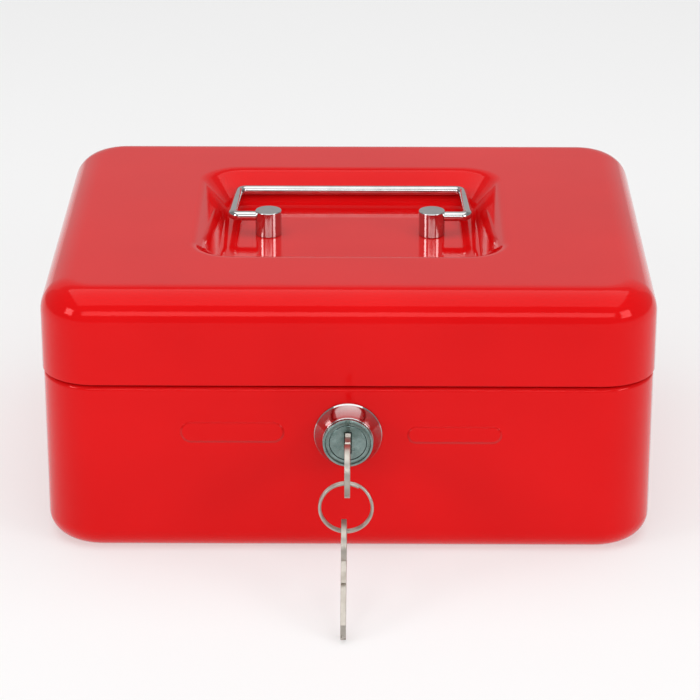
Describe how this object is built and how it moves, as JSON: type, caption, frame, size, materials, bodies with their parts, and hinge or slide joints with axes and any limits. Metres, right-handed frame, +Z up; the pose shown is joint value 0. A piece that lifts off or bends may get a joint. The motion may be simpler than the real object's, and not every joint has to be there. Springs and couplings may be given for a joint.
{
  "type": "cash box",
  "caption": "Small steel cash box with a rear-hinged lid, a folding wire handle in a lid recess, a front cam lock with keys on a ring, and a lift-out coin tray.",
  "frame": {"origin": "centre of the base's flat underside", "axes": "+Z up, -Y towards the lock at the front, +X to the right as seen from the front"},
  "size_m": [0.2, 0.2257, 0.09],
  "materials": {
    "red_enamel": "high-gloss red stoved enamel on steel",
    "chrome_plate": "bright chrome plate",
    "zinc_lock": "satin plated zinc casting",
    "key_nickel": "nickel plate, lightly worn",
    "wafer_brass": "stamped brass",
    "zinc_steel": "zinc-plated steel",
    "tray_plastic": "fine-textured black moulding"
  },
  "bodies": {
    "base": {"base_shell": "red_enamel", "hinge_base_leaf_left": "zinc_steel", "hinge_base_leaf_right": "zinc_steel", "hinge_pin_left": "zinc_steel", "hinge_pin_right": "zinc_steel", "base_rivet_left_1": "zinc_steel", "base_rivet_left_2": "zinc_steel", "base_rivet_right_1": "zinc_steel", "base_rivet_right_2": "zinc_steel", "lock_escutcheon": "chrome_plate", "lock_housing": "zinc_lock", "lock_nut": "zinc_steel"},
    "lid": {"lid_shell": "red_enamel", "hinge_lid_leaf_left": "zinc_steel", "hinge_lid_leaf_right": "zinc_steel", "lid_rivet_left_1": "zinc_steel", "lid_rivet_left_2": "zinc_steel", "lid_rivet_right_1": "zinc_steel", "lid_rivet_right_2": "zinc_steel", "handle_post_left": "chrome_plate", "handle_post_right": "chrome_plate", "post_washer_left": "zinc_steel", "post_washer_right": "zinc_steel", "post_screw_left": "zinc_steel", "post_screw_right": "zinc_steel", "lid_keeper": "zinc_steel"},
    "bail": {"bail_handle": "chrome_plate"},
    "plug": {"lock_plug": "zinc_lock", "wafer_1": "wafer_brass", "wafer_2": "wafer_brass", "wafer_3": "wafer_brass", "wafer_4": "wafer_brass", "lock_cam": "zinc_steel", "cam_screw": "zinc_steel"},
    "key": {"key": "key_nickel"},
    "ring": {"key_ring": "key_nickel"},
    "spare": {"spare_key": "key_nickel"},
    "tray": {"coin_tray": "tray_plastic"}
  },
  "joints": [
    {"name": "lid_hinge", "type": "hinge", "parent": "base", "child": "lid", "pos_m": [0, 0.0762, 0.062], "axis": [-1, 0, 0], "range_deg": [0, 100]},
    {"name": "bail_swing", "type": "hinge", "parent": "lid", "child": "bail", "pos_m": [0, 0.002, 0.0878], "axis": [1, 0, 0], "range_deg": [0, 186]},
    {"name": "plug_turn", "type": "hinge", "parent": "base", "child": "plug", "pos_m": [0, -0.0872, 0.0422], "axis": [0, 1, 0], "range_deg": [0, 90]},
    {"name": "key_pull", "type": "slide", "parent": "plug", "child": "key", "axis": [0, -1, 0], "range_m": [0, 0.025]},
    {"name": "ring_hang", "type": "hinge", "parent": "key", "child": "ring", "pos_m": [0, -0.1114, 0.03675], "axis": [0, 1, 0], "range_deg": [-90, 0]},
    {"name": "spare_key_swing", "type": "hinge", "parent": "ring", "child": "spare", "pos_m": [-0.001, -0.1114, 0.0228], "axis": [1, 0, 0], "range_deg": [-55, 95]},
    {"name": "tray_lift", "type": "slide", "parent": "base", "child": "tray", "axis": [0, 0, 1], "range_m": [0, 0.008]}
  ],
  "couplings": [
    {"joint": "ring_hang", "follows": "plug_turn", "ratio": -1}
  ]
}
